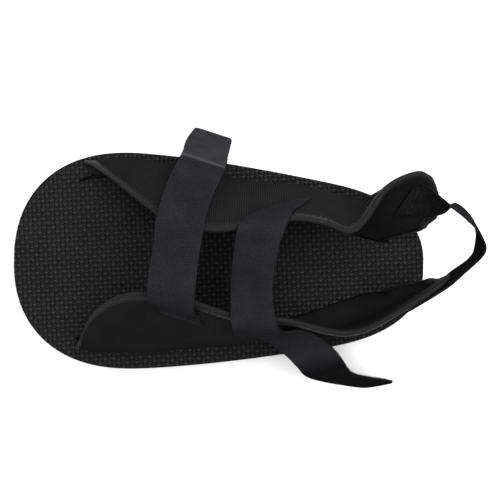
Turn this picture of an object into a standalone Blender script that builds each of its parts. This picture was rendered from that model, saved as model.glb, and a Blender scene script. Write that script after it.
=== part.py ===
"""Post operative shoe: an open-toe, open-heel cast shoe.

A thick foam sole of three layers, two padded side flaps that come up through slits in the
footbed and are one piece under it, and three webbing straps.
The toe points to -X and the heel to +X, +Z is up, and the floor is at Z = 0.
Sizes below are in millimetres. "Up" is measured from the top of the footbed, because the
foot stands there, and "out" is measured from the long axis of the shoe.
"""
import math
from collections import namedtuple

import bmesh
import bpy
from mathutils import Vector
from mathutils.bvhtree import BVHTree

MM = 0.001
FIT_GAP = 0.3

# Sole
SOLE_LENGTH = 265.0
BALL_HALF_WIDTH = 70.0
BALL_FROM_TOE = 75.0
TOE_ROUNDNESS = 2.3
WAIST_TAPER = 14.2
WAIST_LENGTH = 115.0
WAIST_POWER = 1.45
HEEL_FROM_TOE = 200.0
HEEL_ROUNDNESS = 2.8
OUTSOLE_THICK = 6.0
MIDSOLE_TOP = 18.7
SHEET_UNDERSIDE = 19.0
SOLE_TOP = 25.0
TOE_SPRING = 7.0
TOE_SPRING_LENGTH = 50.0
HEEL_BEVEL = 4.0
HEEL_BEVEL_LENGTH = 32.0
SOLE_EDGE_ROUND = 1.2
SOLE_STATIONS = 36

# Flaps
WALL = 2.6
BINDING = 3.6
BINDING_WIDTH = 4.5
LIP_ROUND = 1.1
SLOT_WIDTH = 3.4
CUT_WIDTH = 0.8
SLOT_TOE_END = -91.5
SLOT_HEEL_END = 109.0
WEB_THICK = 1.8
WEB_MARGIN = 2.8
WEB_TOE_END = -89.0
WEB_HEEL_END = 103.0
POCKET_DEPTH = 2.1
POCKET_CLEARANCE = 0.4
STEM_RISE = 1.5
LOWER_LIP = 1.5
SKIN_COLUMNS = 7

# Straps
STRAP_THICK = 1.6
STRAP_CLEARANCE = 0.6
STRAP_STEP = 5.0
STRAP_COLUMNS = 4
REACH_INSIDE = 4.0

# The slits that the flaps come up through, the same on both sides of the axis
Slit = namedtuple("Slit", "x out")
SLITS = [
    Slit(-96, 49.5), Slit(-80, 54.5), Slit(-60, 56.0), Slit(-40, 55.3), Slit(-20, 53.0),
    Slit(0, 49.3), Slit(20, 44.2), Slit(40, 38.2), Slit(60, 32.0), Slit(80, 24.6),
    Slit(96, 19.2), Slit(112, 17.0),
]

# A fold is one section of a flap, from its foot over its belly to its bound edge.
# foot_up is 0 where the foot is in the slit, and the height of the free lower edge behind it.
Fold = namedtuple("Fold", "foot_x foot_out foot_up belly_out belly_up bow edge_x edge_out edge_up")
FAR_FLAP = [
    Fold(-80, 0, 0, 58.5, 4.5, 0.0, -86.0, 62.5, 6.5),
    Fold(-78, 0, 0, 60.4, 6.5, 0.5, -82.0, 61.0, 12.0),
    Fold(-74, 0, 0, 62.0, 9.5, 1.0, -77.0, 58.0, 18.5),
    Fold(-66, 0, 0, 62.8, 14.0, 3.0, -66.0, 51.0, 33.0),
    Fold(-50, 0, 0, 62.6, 20.0, 5.0, -50.0, 40.2, 54.5),
    Fold(-33, 0, 0, 60.0, 22.0, 7.0, -33.0, 28.5, 72.0),
    Fold(-15, 0, 0, 56.2, 22.0, 8.0, -15.0, 20.8, 79.0),
    Fold(5, 0, 0, 52.2, 20.0, 8.0, 5.0, 18.8, 80.0),
    Fold(25, 0, 0, 49.6, 18.0, 7.0, 26.0, 23.4, 80.0),
    Fold(42, 0, 0, 48.6, 18.0, 6.0, 45.0, 26.3, 77.0),
    Fold(56, 0, 0, 46.8, 19.0, 4.0, 62.0, 24.0, 73.0),
    Fold(68, 0, 0, 43.6, 21.0, 3.0, 76.0, 19.5, 69.0),
    Fold(78, 0, 0, 41.0, 24.0, 2.0, 86.0, 29.0, 64.5),
    Fold(86, 0, 0, 38.5, 26.0, 1.0, 95.2, 43.4, 62.5),
    Fold(93, 0, 0, 35.5, 27.0, 0.0, 104.8, 51.2, 61.0),
    Fold(100, 0, 0, 33.5, 29.0, 0.0, 115.2, 55.0, 59.0),
    Fold(104, 17.9, 3.2, 33.6, 29.8, 0.0, 119.8, 53.8, 57.6),
    Fold(108, 20.0, 9.5, 33.8, 30.5, 0.0, 123.9, 51.6, 55.3),
    Fold(114, 21.8, 17.5, 32.0, 31.0, 0.0, 128.6, 44.0, 49.0),
    Fold(121, 23.6, 22.5, 29.5, 31.5, 0.0, 131.4, 37.0, 41.0),
    Fold(127, 26.2, 26.5, 28.0, 29.5, 0.0, 131.6, 31.0, 33.5),
]
NEAR_FLAP = [
    Fold(-88, 0, 0, 56.0, 3.5, 0.0, -88.8, 57.2, 5.5),
    Fold(-84, 0, 0, 56.4, 6.5, 0.8, -84.8, 49.4, 16.0),
    Fold(-77, 0, 0, 56.6, 11.0, 3.0, -76.0, 35.2, 33.0),
    Fold(-67, 0, 0, 57.0, 13.0, 4.0, -67.0, 27.2, 48.0),
    Fold(-55, 0, 0, 56.6, 15.0, 5.0, -55.0, 19.8, 63.0),
    Fold(-41, 0, 0, 55.6, 16.0, 6.0, -40.0, 16.4, 76.0),
    Fold(-25, 0, 0, 54.0, 16.0, 6.0, -25.0, 17.8, 79.0),
    Fold(-8, 0, 0, 51.6, 16.0, 6.0, -8.0, 20.8, 80.0),
    Fold(10, 0, 0, 49.0, 15.0, 5.0, 10.8, 27.0, 78.0),
    Fold(27, 0, 0, 46.2, 15.0, 4.0, 28.0, 28.4, 75.0),
    Fold(42, 0, 0, 43.6, 16.0, 3.0, 45.0, 30.4, 71.0),
    Fold(55, 0, 0, 42.0, 18.0, 2.0, 59.0, 34.3, 66.5),
    Fold(66, 0, 0, 39.8, 21.0, 1.0, 71.0, 36.9, 64.5),
    Fold(76, 0, 0, 37.0, 24.0, 0.0, 82.0, 36.2, 63.0),
    Fold(85, 0, 0, 33.5, 26.0, 0.0, 92.0, 32.3, 62.0),
    Fold(94, 0, 0, 28.8, 28.0, 0.0, 101.0, 26.9, 62.0),
    Fold(101, 0, 0, 25.0, 29.0, 0.0, 109.0, 22.0, 62.0),
    Fold(105, 17.6, 3.2, 22.8, 30.0, 0.0, 112.6, 19.8, 61.8),
    Fold(110, 15.0, 8.0, 20.0, 31.3, 0.0, 116.8, 17.1, 61.5),
    Fold(118, 12.2, 13.5, 15.4, 34.0, 0.0, 123.3, 12.9, 61.0),
    Fold(127, 9.6, 19.0, 11.0, 37.0, 0.0, 130.0, 7.8, 59.5),
    Fold(133, 7.2, 24.0, 6.6, 39.0, 0.0, 134.4, 3.8, 56.0),
]

# A band is one section across a strap: its toe-side or upper edge, then its other edge.
# y is across the shoe, and lie is 1 where the strap is sewn or stuck to a flap.
Band = namedtuple("Band", "ax ay aup bx by bup lie")
FOREFOOT_STRAP = [
    Band(-28.4, -24.4, 69, -5.2, -31.2, 65, 1), Band(-29.6, -22.8, 74, -6.6, -29.2, 71, 1),
    Band(-31.5, -22.0, 81, -8.5, -28.5, 79, 0), Band(-33.2, -20.0, 90, -9.2, -25.5, 88, 0),
    Band(-33.2, -12.0, 95, -8.4, -14.5, 94, 0), Band(-32.5, -1.0, 92, -7.5, -2.0, 92, 0),
    Band(-31.5, 10.0, 87, -6.3, 10.5, 87, 0), Band(-30.4, 23.0, 87, -3.8, 25.0, 87, 0),
    Band(-27.8, 37.0, 83, -0.4, 38.0, 82, 0), Band(-24.4, 48.5, 77, 2.8, 47.0, 75, 0),
    Band(-19.6, 60.8, 68, 4.8, 53.6, 66, 0), Band(-18.6, 65.5, 60, 5.3, 58.0, 58, 0),
    Band(-19.0, 73.2, 40, 5.6, 65.4, 40, 0), Band(-18.4, 81.0, 16, 6.0, 73.4, 16, 0),
    Band(-17.7, 88.0, -8, 6.3, 80.9, -8, 0),
]
INSTEP_STRAP = [
    Band(29.4, 31.5, 73, 53.8, 37.5, 59, 1), Band(23.7, 29.2, 76, 48.6, 34.0, 68, 1),
    Band(18.0, 26.6, 79, 43.0, 29.8, 76, 0), Band(15.0, 23.8, 85, 41.2, 26.6, 82, 0),
    Band(13.0, 19.6, 87, 38.6, 21.0, 86, 0),
    Band(11.7, 11.0, 82, 35.4, 11.0, 86, 0), Band(10.8, 0.0, 78, 33.8, 0.0, 86, 0),
    Band(10.4, -10.0, 77, 33.0, -10.0, 86, 0), Band(10.3, -20.0, 79, 32.9, -19.5, 86, 0),
    Band(10.6, -29.0, 84, 34.4, -27.5, 87, 0), Band(11.6, -34.5, 84, 36.0, -32.6, 85, 0),
    Band(13.2, -37.6, 78, 38.6, -35.6, 78, 0), Band(19.0, -38.6, 69, 43.4, -36.4, 71, 0),
    Band(25.2, -40.2, 63, 48.2, -35.8, 67, 0), Band(33.4, -45.0, 55, 56.6, -37.4, 60, 0),
    Band(41.4, -51.6, 47, 65.0, -43.2, 52, 0), Band(49.0, -59.2, 36, 73.0, -51.0, 42, 0),
    Band(56.4, -69.2, 14, 79.6, -60.0, 27, 0), Band(67.0, -74.4, 1, 85.6, -66.6, 17, 0),
    Band(82.0, -78.2, -8, 95.4, -69.8, 11, 0), Band(98.0, -80.8, -14, 104.0, -71.2, 8, 0),
    Band(110.0, -79.4, -17, 110.0, -72.4, 6, 0), Band(116.0, -78.0, -18, 113.4, -73.4, 5, 0),
]
HEEL_STRAP = [
    Band(113.0, 48.0, 50, 106.5, 32.0, 32, 1), Band(118.0, 47.6, 54, 112.5, 31.8, 34, 1),
    Band(122.4, 45.0, 60, 119.5, 31.6, 37.0, 0.4), Band(126.4, 41.4, 63.5, 127.4, 31.4, 40, 0),
    Band(130.4, 38.0, 64.5, 135.4, 33.8, 42, 0), Band(134.6, 34.6, 64, 140.0, 39.4, 41, 0),
    Band(140.0, 30.8, 63, 146.2, 36.8, 39.5, 0),
    Band(145.4, 26.0, 62.5, 152.0, 30.4, 38.5, 0), Band(150.0, 20.4, 62.5, 154.8, 21.8, 38, 0),
    Band(152.8, 15.5, 63, 154.6, 15.6, 38, 0), Band(153.6, 12.0, 63, 154.0, 10.6, 38, 0),
    Band(151.5, 8.0, 63, 151.6, 7.0, 38, 0), Band(146.5, 3.0, 63, 146.6, 2.6, 38, 0),
    Band(140.0, -3.2, 62.5, 139.5, -2.4, 37.5, 0), Band(134.0, -9.0, 62, 134.3, -9.4, 37, 0),
    Band(128.0, -14.0, 61.5, 128.0, -14.0, 36.5, 1), Band(120.0, -19.0, 60, 119.6, -18.0, 35, 1),
    Band(110.5, -26.0, 58.5, 110.0, -23.6, 34, 1), Band(101.5, -31.0, 57, 101.0, -29.0, 33, 1),
]

# Finish of each material: colour, roughness
Finish = namedtuple("Finish", "colour roughness")
EVA_FOAM = Finish((0.022, 0.022, 0.024, 1.0), 0.62)
FLAP_FABRIC = Finish((0.018, 0.018, 0.020, 1.0), 0.78)
WEBBING = Finish((0.024, 0.024, 0.027, 1.0), 0.72)


def clear_scene():
    for old in list(bpy.data.objects):
        bpy.data.objects.remove(old, do_unlink=True)


def finish_material(name, finish):
    material = bpy.data.materials.new(name)
    material.use_nodes = True
    shader = material.node_tree.nodes["Principled BSDF"]
    shader.inputs["Base Color"].default_value = finish.colour
    shader.inputs["Roughness"].default_value = finish.roughness
    shader.inputs["Metallic"].default_value = 0.0
    return material


def new_object(name, mesh, finish=None):
    piece = bpy.data.objects.new(name, mesh)
    bpy.context.scene.collection.objects.link(piece)
    if finish:
        mesh.materials.append(finish_material(name + "_finish", finish))
        mesh.shade_smooth()
        mesh.set_sharp_from_angle(angle=math.radians(35))
    return piece


def closed_mesh(name, points, faces):
    """A mesh of one closed body, in metres, with its faces pointing out."""
    shell = bmesh.new()
    corners = [shell.verts.new(Vector(p) * MM) for p in points]
    for face in faces:
        shell.faces.new([corners[i] for i in face])
    bmesh.ops.recalc_face_normals(shell, faces=shell.faces)
    mesh = bpy.data.meshes.new(name)
    shell.to_mesh(mesh)
    shell.free()
    return mesh


def cut_or_join(piece, tool, operation):
    tool.hide_render = True
    tool.display_type = "WIRE"
    change = piece.modifiers.new(operation.title() + "_" + tool.name, "BOOLEAN")
    change.operation = operation
    change.solver = "EXACT"
    change.object = tool


def smooth_between(before, start, end, after, t):
    """A point on the Catmull-Rom curve from start to end."""
    return 0.5 * (
        2 * start + (end - before) * t
        + (2 * before - 5 * start + 4 * end - after) * t * t
        + (3 * start - before - 3 * end + after) * t * t * t
    )


def smooth_row(values, steps):
    """A smooth curve through values, with steps[i] pieces in the i-th interval."""
    ends = [2 * values[0] - values[1]] + list(values) + [2 * values[-1] - values[-2]]
    curve = []
    for i, count in enumerate(steps):
        around = ends[i:i + 4]
        curve += [smooth_between(*around, k / count) for k in range(count)]
    return curve + [values[-1]]


def slit_out(x):
    """Distance of the slit from the long axis at x."""
    last = len(SLITS) - 2
    i = next((k for k in range(last) if x < SLITS[k + 1].x), last)
    start, end = SLITS[i], SLITS[i + 1]
    before = SLITS[max(i - 1, 0)]
    after = SLITS[min(i + 2, last + 1)]
    return smooth_between(before.out, start.out, end.out, after.out, (x - start.x) / (end.x - start.x))


def half_width(x):
    """Half the width of the sole at x: rounded toe, tapering waist and rounded heel."""
    from_toe = x + SOLE_LENGTH / 2
    side = BALL_HALF_WIDTH
    if from_toe > BALL_FROM_TOE:
        side -= WAIST_TAPER * ((from_toe - BALL_FROM_TOE) / WAIST_LENGTH) ** WAIST_POWER
    toe_reach = max(0.0, 1 - from_toe / BALL_FROM_TOE)
    heel_reach = max(0.0, (from_toe - HEEL_FROM_TOE) / (SOLE_LENGTH - HEEL_FROM_TOE))
    toe = (1 - min(1.0, toe_reach) ** TOE_ROUNDNESS) ** (1 / TOE_ROUNDNESS)
    heel = (1 - min(1.0, heel_reach) ** HEEL_ROUNDNESS) ** (1 / HEEL_ROUNDNESS)
    return side * toe * heel


def underside(x):
    """Height of the sole's underside: flat, with toe spring and a bevelled heel."""
    from_toe = x + SOLE_LENGTH / 2
    spring = max(0.0, 1 - from_toe / TOE_SPRING_LENGTH)
    bevel = max(0.0, 1 - (SOLE_LENGTH - from_toe) / HEEL_BEVEL_LENGTH)
    return TOE_SPRING * spring ** 2 + HEEL_BEVEL * bevel ** 2


def sole_stations():
    """Places along the sole, closer together towards its rounded ends."""
    ends = 0.9985 * SOLE_LENGTH / 2
    turns = [math.pi * k / (SOLE_STATIONS - 1) for k in range(SOLE_STATIONS)]
    return [-ends * math.cos(turn) for turn in turns]


def sole_layer(name, bottom, top, finish):
    """A slab with the sole's outline between two heights, each a function of x."""
    points = []
    faces = []
    stations = sole_stations()
    for x in stations:
        wide = half_width(x)
        narrow = wide - min(SOLE_EDGE_ROUND, 0.3 * wide)
        low, high = bottom(x), top(x)
        soft = min(SOLE_EDGE_ROUND, 0.25 * (high - low))
        section = [(-narrow, low), (narrow, low), (wide, low + soft), (wide, high - soft),
                   (narrow, high), (-narrow, high), (-wide, high - soft), (-wide, low + soft)]
        points += [(x, y, z) for y, z in section]
    around = 8
    for i in range(len(stations) - 1):
        for k in range(around):
            a, b = i * around + k, i * around + (k + 1) % around
            faces.append((a, b, b + around, a + around))
    faces.append(tuple(range(around)))
    faces.append(tuple(range(len(points) - around, len(points))))
    return new_object(name, closed_mesh(name, points, faces), finish)


def prism(name, outline, low, high):
    """A closed prism over an outline of (x, y) points."""
    count = len(outline)
    points = [(x, y, low) for x, y in outline] + [(x, y, high) for x, y in outline]
    faces = [tuple(range(count)), tuple(range(count, 2 * count))]
    faces += [(k, (k + 1) % count, (k + 1) % count + count, k + count) for k in range(count)]
    return new_object(name, closed_mesh(name, points, faces))


def slot_outline(folds, side):
    """The outline of the slot that a flap comes up through, a thin cut in front of the flap."""
    count = 20
    start = folds[0].foot_x
    places = [SLOT_TOE_END] + [start + (SLOT_HEEL_END - start) * k / count for k in range(count + 1)]
    outer, inner = [], []
    for x in places:
        slope = slit_out(x + 1) - slit_out(x - 1)
        run = math.hypot(2, slope)
        half = (CUT_WIDTH if x < start else SLOT_WIDTH) / 2
        shift_x, shift_y = -slope / run * half, 2 / run * half
        outer.append((x + shift_x, side * (slit_out(x) + shift_y)))
        inner.append((x - shift_x, side * (slit_out(x) - shift_y)))
    return outer + inner[::-1]


def web_outline(margin, ends):
    """The outline of the web that joins the flaps under the footbed."""
    count = 16
    start, finish = WEB_TOE_END - ends, WEB_HEEL_END + ends
    places = [start + (finish - start) * k / count for k in range(count + 1)]
    return ([(x, slit_out(x) + margin) for x in places]
            + [(x, -slit_out(x) - margin) for x in reversed(places)])


def build_sole():
    sole_layer("outsole", underside, lambda x: underside(x) + OUTSOLE_THICK, EVA_FOAM)
    midsole = sole_layer("midsole", lambda x: underside(x) + OUTSOLE_THICK + FIT_GAP,
                         lambda x: MIDSOLE_TOP, EVA_FOAM)
    pocket = prism("pocket", web_outline(WEB_MARGIN + POCKET_CLEARANCE, 2 * POCKET_CLEARANCE),
                   MIDSOLE_TOP - POCKET_DEPTH, SOLE_TOP)
    cut_or_join(midsole, pocket, "DIFFERENCE")
    sheet = sole_layer("top_sheet", lambda x: SHEET_UNDERSIDE, lambda x: SOLE_TOP, EVA_FOAM)
    for name, folds, side in (("far_slot", FAR_FLAP, 1), ("near_slot", NEAR_FLAP, -1)):
        slot = prism(name, slot_outline(folds, side), MIDSOLE_TOP - 1, SOLE_TOP + 1)
        cut_or_join(sheet, slot, "DIFFERENCE")


def fold_points(fold, side):
    """The points that one section of a flap passes through, from its lower end to its edge."""
    sewn = fold.foot_up == 0
    foot_out = slit_out(fold.foot_x) if sewn else fold.foot_out
    foot = Vector((fold.foot_x, side * foot_out, SOLE_TOP + (STEM_RISE if sewn else fold.foot_up)))
    edge = Vector((fold.edge_x, side * fold.edge_out, SOLE_TOP + fold.edge_up))
    belly_x = fold.foot_x + 0.25 * (fold.edge_x - fold.foot_x)
    belly = Vector((belly_x, side * fold.belly_out, SOLE_TOP + fold.belly_up))
    rise = edge - belly
    outward = Vector((0, side * rise.z, -side * rise.y)).normalized() if rise.length else Vector()
    middle = belly + 0.5 * rise + fold.bow * outward
    web_level = SHEET_UNDERSIDE - FIT_GAP - WEB_THICK / 2
    lower_end = Vector((foot.x, foot.y, web_level if sewn else foot.z - LOWER_LIP))
    return [lower_end, foot, belly, middle, edge]


def along(line, distance):
    """The point at a distance along a line of points."""
    for start, end in zip(line, line[1:]):
        length = (end - start).length
        if distance <= length:
            return start.lerp(end, distance / length)
        distance -= length
    return line[-1].copy()


def line_length(line):
    return sum((end - start).length for start, end in zip(line, line[1:]))


def flap_grid(folds, side):
    """The middle surface of a flap: for each section, points from its edge to its lower end."""
    tracks = list(zip(*[fold_points(fold, side) for fold in folds]))
    steps = [2] * (len(folds) - 1)
    sections = list(zip(*[smooth_row(track, steps) for track in tracks]))
    web_level = SHEET_UNDERSIDE - FIT_GAP - WEB_THICK / 2
    grid = []
    for lower_end, foot, belly, middle, edge in sections:
        lower_end.z = max(lower_end.z, web_level)
        rise_guide = foot - Vector((0, 0, 8))
        skin = []
        chain = [rise_guide, foot, belly, middle, edge, 2 * edge - middle]
        for i in range(3):
            skin += [smooth_between(*chain[i:i + 4], k / 10) for k in range(10)]
        skin = (skin + [edge])[::-1]
        length = line_length(skin)
        first = [0, min(LIP_ROUND, 0.1 * length), min(BINDING_WIDTH, 0.35 * length)]
        rest = [first[-1] + (length - first[-1]) * k / SKIN_COLUMNS for k in range(1, SKIN_COLUMNS + 1)]
        row = [along(skin, d) for d in first + rest]
        row.append(foot.lerp(lower_end, 0.5))
        row.append(lower_end)
        grid.append(row)
    return grid


def grid_normals(grid):
    """Unit normals of a grid of points, from its neighbours on both sides."""
    rows, columns = len(grid), len(grid[0])
    normals = []
    for i in range(rows):
        ahead, behind = grid[min(i + 1, rows - 1)], grid[max(i - 1, 0)]
        line = []
        for k in range(columns):
            across = grid[i][min(k + 1, columns - 1)] - grid[i][max(k - 1, 0)]
            line.append((ahead[k] - behind[k]).cross(across).normalized())
        normals.append(line)
    return normals


def sheet_shell(grid, halves):
    """Points and faces of a closed sheet: the grid moved half its thickness to each side."""
    normals = grid_normals(grid)
    rows, columns = len(grid), len(grid[0])
    sides = []
    for sign in (1, -1):
        sides += [grid[i][k] + sign * halves[k] * normals[i][k] for i in range(rows) for k in range(columns)]
    back = rows * columns

    def at(i, k):
        return i * columns + k

    faces = []
    for i in range(rows - 1):
        for k in range(columns - 1):
            quad = (at(i, k), at(i, k + 1), at(i + 1, k + 1), at(i + 1, k))
            faces += [quad, tuple(back + v for v in reversed(quad))]
    rim = [at(0, k) for k in range(columns)] + [at(i, columns - 1) for i in range(1, rows)]
    rim += [at(rows - 1, k) for k in range(columns - 2, -1, -1)] + [at(i, 0) for i in range(rows - 2, 0, -1)]
    for start, end in zip(rim, rim[1:] + rim[:1]):
        faces.append((start, end, back + end, back + start))
    return sides, faces


def flap_halves():
    """Half the thickness of a flap in each column: a rounded lip, the binding, then the wall."""
    return [0.30 * BINDING, 0.5 * BINDING, 0.5 * BINDING] + [0.5 * WALL] * (SKIN_COLUMNS + 2)


def surface_tree(grid, halves, sign):
    """A search tree of one face of a flap, with its normals pointing away from the wall."""
    normals = grid_normals(grid)
    rows, columns = len(grid), len(grid[0])
    points = [grid[i][k] + sign * halves[k] * normals[i][k] for i in range(rows) for k in range(columns)]
    faces = []
    for i in range(rows - 1):
        for k in range(columns - 1):
            quad = (i * columns + k, i * columns + k + 1, (i + 1) * columns + k + 1, (i + 1) * columns + k)
            faces.append(quad if sign < 0 else tuple(reversed(quad)))
    return BVHTree.FromPolygons(points, faces)


def build_upper():
    """Both flaps and the web under the footbed, as one solid. Returns the two flaps' grids."""
    halves = flap_halves()
    grids = {}
    pieces = []
    for name, folds, side in (("far", FAR_FLAP, 1), ("near", NEAR_FLAP, -1)):
        grids[name] = flap_grid(folds, side)
        points, faces = sheet_shell(grids[name], halves)
        pieces.append((name, closed_mesh(name + "_flap", points, faces)))
    web_top = SHEET_UNDERSIDE - FIT_GAP
    upper = new_object("upper", pieces[0][1], FLAP_FABRIC)
    cut_or_join(upper, prism("web", web_outline(WEB_MARGIN, 0), web_top - WEB_THICK, web_top), "UNION")
    cut_or_join(upper, new_object("near_flap", pieces[1][1]), "UNION")
    return grids


def strap_grid(bands, seat, solids):
    """The middle surface of a strap, lying on its seat where it is sewn, clear of all solids."""
    near = [Vector((b.ax, b.ay, SOLE_TOP + b.aup)) for b in bands]
    far = [Vector((b.bx, b.by, SOLE_TOP + b.bup)) for b in bands]
    steps = [max(1, round(max((a2 - a1).length, (b2 - b1).length) / STRAP_STEP))
             for a1, a2, b1, b2 in zip(near, near[1:], far, far[1:])]
    lies = smooth_row([float(b.lie) for b in bands], steps)
    grid = []
    for a, b, lie in zip(smooth_row(near, steps), smooth_row(far, steps), lies):
        row = [a.lerp(b, k / STRAP_COLUMNS) for k in range(STRAP_COLUMNS + 1)]
        weight = min(1.0, max(0.0, lie))
        grid.append([p.lerp(seated(p, seat(p)), weight) if weight > 0 else p for p in row])
    clear = STRAP_THICK / 2 + STRAP_CLEARANCE
    for _ in range(3):
        grid = [[pushed_clear(p, solids, clear) for p in row] for row in grid]
    return grid


def seated(point, tree):
    place, normal, _, _ = tree.find_nearest(point)
    return place + (STRAP_THICK / 2 + STRAP_CLEARANCE) * normal


def pushed_clear(point, solids, clear):
    """The point, moved out of each solid until it is clear of its surface."""
    for tree in solids:
        place, normal, _, distance = tree.find_nearest(point)
        inside = distance < REACH_INSIDE and (point - place).dot(normal) < 0
        if inside or distance < clear:
            away = normal if inside or distance < 0.01 else (point - place).normalized()
            point = place + clear * away
    return point


def build_strap(name, bands, seat, solids):
    grid = strap_grid(bands, seat, solids)
    columns = len(grid[0])
    halves = [0.36 * STRAP_THICK] + [0.5 * STRAP_THICK] * (columns - 2) + [0.36 * STRAP_THICK]
    points, faces = sheet_shell(grid, halves)
    return new_object(name, closed_mesh(name, points, faces), WEBBING)


def solid_tree(grid, halves):
    points, faces = sheet_shell(grid, halves)
    shell = bmesh.new()
    corners = [shell.verts.new(p) for p in points]
    for face in faces:
        shell.faces.new([corners[i] for i in face])
    bmesh.ops.recalc_face_normals(shell, faces=shell.faces)
    tree = BVHTree.FromBMesh(shell)
    shell.free()
    return tree


def main():
    clear_scene()
    build_sole()
    grids = build_upper()
    halves = flap_halves()
    solids = [solid_tree(grid, halves) for grid in grids.values()]
    # The normals of both middle surfaces point towards +Y
    far_out = surface_tree(grids["far"], halves, 1)
    far_in = surface_tree(grids["far"], halves, -1)
    near_out = surface_tree(grids["near"], halves, -1)
    build_strap("forefoot_strap", FOREFOOT_STRAP, lambda p: near_out, solids)
    build_strap("instep_strap", INSTEP_STRAP, lambda p: far_out, solids)
    build_strap("heel_strap", HEEL_STRAP, lambda p: far_in if p.y > 10 else near_out, solids)


main()
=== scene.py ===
"""Looks of the post operative shoe: foam sole, bound flaps and webbing straps, in the CAD's own frame.

Sizes in the tables are in millimetres. "Up" is measured from the top of the footbed, and "out"
from the long axis of the shoe. The toe points to -X, and the far flap is on the +Y side.
"""

import math
import random
from collections import namedtuple
from functools import lru_cache

import bmesh
import bpy
from bpy.props import FloatProperty, FloatVectorProperty, IntProperty, PointerProperty
from mathutils import Matrix, Vector, noise
from mathutils.bvhtree import BVHTree


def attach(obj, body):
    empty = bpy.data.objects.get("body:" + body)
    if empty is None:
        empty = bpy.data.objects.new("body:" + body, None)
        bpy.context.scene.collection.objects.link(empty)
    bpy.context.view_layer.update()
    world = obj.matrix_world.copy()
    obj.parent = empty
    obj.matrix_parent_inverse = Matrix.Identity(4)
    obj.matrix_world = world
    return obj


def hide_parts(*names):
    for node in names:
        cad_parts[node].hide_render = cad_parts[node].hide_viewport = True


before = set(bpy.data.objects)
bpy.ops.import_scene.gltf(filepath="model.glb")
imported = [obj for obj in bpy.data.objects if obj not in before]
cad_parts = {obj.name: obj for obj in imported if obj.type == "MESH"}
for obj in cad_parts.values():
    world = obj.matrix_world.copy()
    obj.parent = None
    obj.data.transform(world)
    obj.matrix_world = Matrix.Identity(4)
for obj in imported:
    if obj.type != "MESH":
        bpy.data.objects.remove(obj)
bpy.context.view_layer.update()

bl_info = {
    "name": "Post operative shoe",
    "version": (1, 0, 0),
    "blender": (4, 5, 0),
    "location": "3D View > Sidebar > Shoe",
    "description": "Builds a post operative shoe's looks around its CAD model",
    "category": "Object",
}

MM = 0.001
BODY = "root"
CLOTH_SPAN = 400.0
WEAVE_TURN = math.radians(4.35)
CAMERA_TURN = math.radians(1.327)
CAMERA_OVER = (0.0201, 0.0087)

# Sole
SOLE_LENGTH = 265.0
BALL_HALF_WIDTH = 70.0
BALL_FROM_TOE = 75.0
TOE_ROUNDNESS = 2.3
WAIST_TAPER = 14.2
WAIST_LENGTH = 115.0
WAIST_POWER = 1.45
HEEL_FROM_TOE = 200.0
HEEL_ROUNDNESS = 2.8
OUTSOLE_THICK = 6.0
FIT_GAP = 0.3
MIDSOLE_TOP = 18.7
SHEET_UNDERSIDE = 19.0
SOLE_TOP = 25.0
TOE_SPRING = 7.0
TOE_SPRING_LENGTH = 50.0
HEEL_BEVEL = 4.0
HEEL_BEVEL_LENGTH = 32.0
SLOT_WIDTH = 3.4
CUT_WIDTH = 0.8
SLOT_TOE_END = -91.5
SLOT_HEEL_END = 109.0
STEM_RISE = 1.5
WEB_THICK = 1.8
LOWER_LIP = 1.5

# Flaps and straps: their fine surfaces, seams and hairs
REACH_INSIDE = 4.0
FOLD_POINTS = 12
LUMPS_PER_MM = 0.045
LUMP_LIFT = 0.9
LEVEL_COLUMNS = 8
TAPE_RIB = 0.55
SEAM_FROM_EDGE = 1.0
SEAM_SUNK = 0.1
THREAD_SIDES = 6
SEAM_PLACES = 24
RIPPLED_CLEARANCE = 0.15
HAIR_GIRTH = 0.09

Slit = namedtuple("Slit", "x out")
SLITS = [
    Slit(-96, 49.5), Slit(-80, 54.5), Slit(-60, 56), Slit(-40, 55.3), Slit(-20, 53),
    Slit(0, 49.3), Slit(20, 44.2), Slit(40, 38.2), Slit(60, 32), Slit(80, 24.6),
    Slit(96, 19.2), Slit(112, 17),
]

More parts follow.
